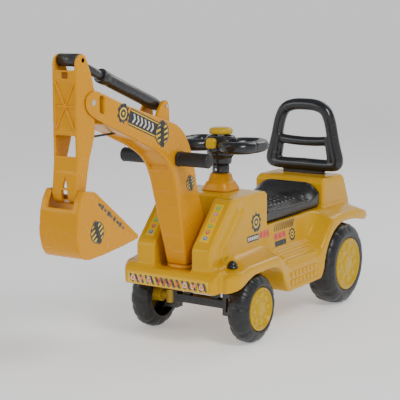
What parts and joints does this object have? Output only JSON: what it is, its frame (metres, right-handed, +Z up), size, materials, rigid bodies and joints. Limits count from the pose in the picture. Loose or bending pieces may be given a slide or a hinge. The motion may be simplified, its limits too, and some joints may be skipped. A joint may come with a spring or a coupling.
{
  "type": "ride-on digger",
  "caption": "Child's ride-on digger: a four-wheeled moulded body with seat, backrest and steering, and a hand-worked boom, stick and bucket in front.",
  "frame": {"origin": "centre of the bounding box at floor level", "axes": "+Z up, +Y towards the back of the toy, +X towards the driver's left"},
  "size_m": [0.292, 0.9679, 0.58],
  "materials": {
    "yellow_shell": "gloss moulded",
    "orange_arm": "gloss moulded",
    "black_plastic": "satin moulded",
    "black_tyre": "satin blow-moulded",
    "yellow_hub": "gloss moulded",
    "black_grip": "soft touch",
    "steel": "zinc plated"
  },
  "bodies": {
    "chassis": {"body_shell": "yellow_shell", "storage_tub": "black_plastic", "backrest": "black_plastic", "steering_pillar": "orange_arm", "column_collar": "black_plastic", "collar_screw": "steel", "front_axle_beam": "black_plastic", "kingpin_left": "steel", "kingpin_right": "steel", "rear_axle": "steel", "rear_bush_left": "black_plastic", "rear_bush_right": "black_plastic", "rear_spacer_left": "black_plastic", "rear_spacer_right": "black_plastic", "headlamp_left": "black_plastic", "headlamp_right": "black_plastic", "seat_hinge_pin": "steel"},
    "seat": {"seat_lid": "black_plastic"},
    "steering": {"steering_wheel": "black_plastic", "steering_shaft": "steel", "steering_crank": "black_plastic", "front_knob": "yellow_hub", "horn_spring": "steel"},
    "horn": {"horn_button": "yellow_hub"},
    "tie": {"tie_rod": "black_plastic"},
    "knuckle_l": {"knuckle_left": "yellow_hub", "stub_axle_left": "steel"},
    "knuckle_r": {"knuckle_right": "yellow_hub", "stub_axle_right": "steel"},
    "wheel_fl": {"front_left_tyre": "black_tyre", "front_left_hub": "yellow_hub"},
    "wheel_fr": {"front_right_tyre": "black_tyre", "front_right_hub": "yellow_hub"},
    "wheel_rl": {"rear_left_tyre": "black_tyre", "rear_left_hub": "yellow_hub"},
    "wheel_rr": {"rear_right_tyre": "black_tyre", "rear_right_hub": "yellow_hub"},
    "boom": {"boom_left": "orange_arm", "boom_right": "orange_arm", "boom_foot": "orange_arm", "boom_king_bolt": "steel", "king_bolt_nut": "steel", "boom_screws": "steel", "stick_pin": "steel", "cylinder_base_pin": "steel"},
    "handle": {"handle_shaft": "steel", "grip_left": "black_grip", "grip_right": "black_grip", "handle_crank": "black_plastic"},
    "stick": {"stick": "orange_arm", "cylinder_cross_pin": "steel", "pull_rod_pin": "steel", "bucket_pin": "steel"},
    "pull_rod": {"pull_rod": "black_plastic"},
    "tube": {"cylinder_tube": "black_plastic"},
    "piston": {"cylinder_rod": "black_plastic"},
    "bucket": {"bucket": "orange_arm"}
  },
  "joints": [
    {"name": "seat_hinge", "type": "hinge", "parent": "chassis", "child": "seat", "pos_m": [0, 0.097, 0.239], "axis": [1, 0, 0], "range_deg": [0, 65]},
    {"name": "steer_turn", "type": "hinge", "parent": "chassis", "child": "steering", "pos_m": [0, 0.039, 0.379], "axis": [0, 0, 1], "range_deg": [-30, 30]},
    {"name": "horn_press", "type": "slide", "parent": "steering", "child": "horn", "axis": [0, 0, -1], "range_m": [0, 0.003], "stiffness_N_per_m": 400, "springref_m": -0.001, "deforming": ["horn_spring"]},
    {"name": "tie_slide", "type": "slide", "parent": "chassis", "child": "tie", "axis": [-1, 0, 0], "range_m": [-0.0205, 0.0205]},
    {"name": "knuckle_left_turn", "type": "hinge", "parent": "chassis", "child": "knuckle_l", "pos_m": [0.075, -0.031, 0.069], "axis": [0, 0, 1], "range_deg": [-26, 26]},
    {"name": "knuckle_right_turn", "type": "hinge", "parent": "chassis", "child": "knuckle_r", "pos_m": [-0.075, -0.031, 0.069], "axis": [0, 0, 1], "range_deg": [-26, 26]},
    {"name": "front_left_spin", "type": "hinge", "parent": "knuckle_l", "child": "wheel_fl", "pos_m": [0.117, -0.031, 0.069], "axis": [1, 0, 0], "continuous": true},
    {"name": "front_right_spin", "type": "hinge", "parent": "knuckle_r", "child": "wheel_fr", "pos_m": [-0.117, -0.031, 0.069], "axis": [1, 0, 0], "continuous": true},
    {"name": "rear_left_spin", "type": "hinge", "parent": "chassis", "child": "wheel_rl", "pos_m": [0.112, 0.347, 0.09], "axis": [1, 0, 0], "continuous": true},
    {"name": "rear_right_spin", "type": "hinge", "parent": "chassis", "child": "wheel_rr", "pos_m": [-0.112, 0.347, 0.09], "axis": [1, 0, 0], "continuous": true},
    {"name": "boom_slew", "type": "hinge", "parent": "chassis", "child": "boom", "pos_m": [0, -0.096, 0.152], "axis": [0, 0, 1], "range_deg": [-12, 12]},
    {"name": "stick_swing", "type": "hinge", "parent": "boom", "child": "stick", "pos_m": [0, -0.418, 0.497], "axis": [1, 0, 0], "range_deg": [-20, 20]},
    {"name": "handle_turn", "type": "hinge", "parent": "boom", "child": "handle", "pos_m": [0, -0.16, 0.3735], "axis": [1, 0, 0], "range_deg": [-34.6, 34.6]},
    {"name": "pull_rod_turn", "type": "hinge", "parent": "stick", "child": "pull_rod", "pos_m": [0, -0.418, 0.435], "axis": [1, 0, 0], "range_deg": [-21, 21]},
    {"name": "cylinder_tilt", "type": "hinge", "parent": "boom", "child": "tube", "pos_m": [0, -0.191, 0.475], "axis": [1, 0, 0], "range_deg": [-5, 5]},
    {"name": "cylinder_stroke", "type": "slide", "parent": "tube", "child": "piston", "axis": [0, -0.936, 0.3519], "range_m": [-0.0215, 0.0215]},
    {"name": "bucket_curl", "type": "hinge", "parent": "stick", "child": "bucket", "pos_m": [0, -0.446, 0.338], "axis": [1, 0, 0], "range_deg": [-25, 25]}
  ],
  "couplings": [
    {"joint": "tie_slide", "follows": "steer_turn", "m_per_rad": 0.038},
    {"joint": "knuckle_left_turn", "follows": "steer_turn", "ratio": 0.8444},
    {"joint": "knuckle_right_turn", "follows": "steer_turn", "ratio": 0.8444},
    {"joint": "handle_turn", "follows": "stick_swing", "ratio": -1.72},
    {"joint": "pull_rod_turn", "follows": "stick_swing", "ratio": -1},
    {"joint": "cylinder_tilt", "follows": "stick_swing", "ratio": 0.17},
    {"joint": "cylinder_stroke", "follows": "stick_swing", "m_per_rad": 0.0586}
  ]
}
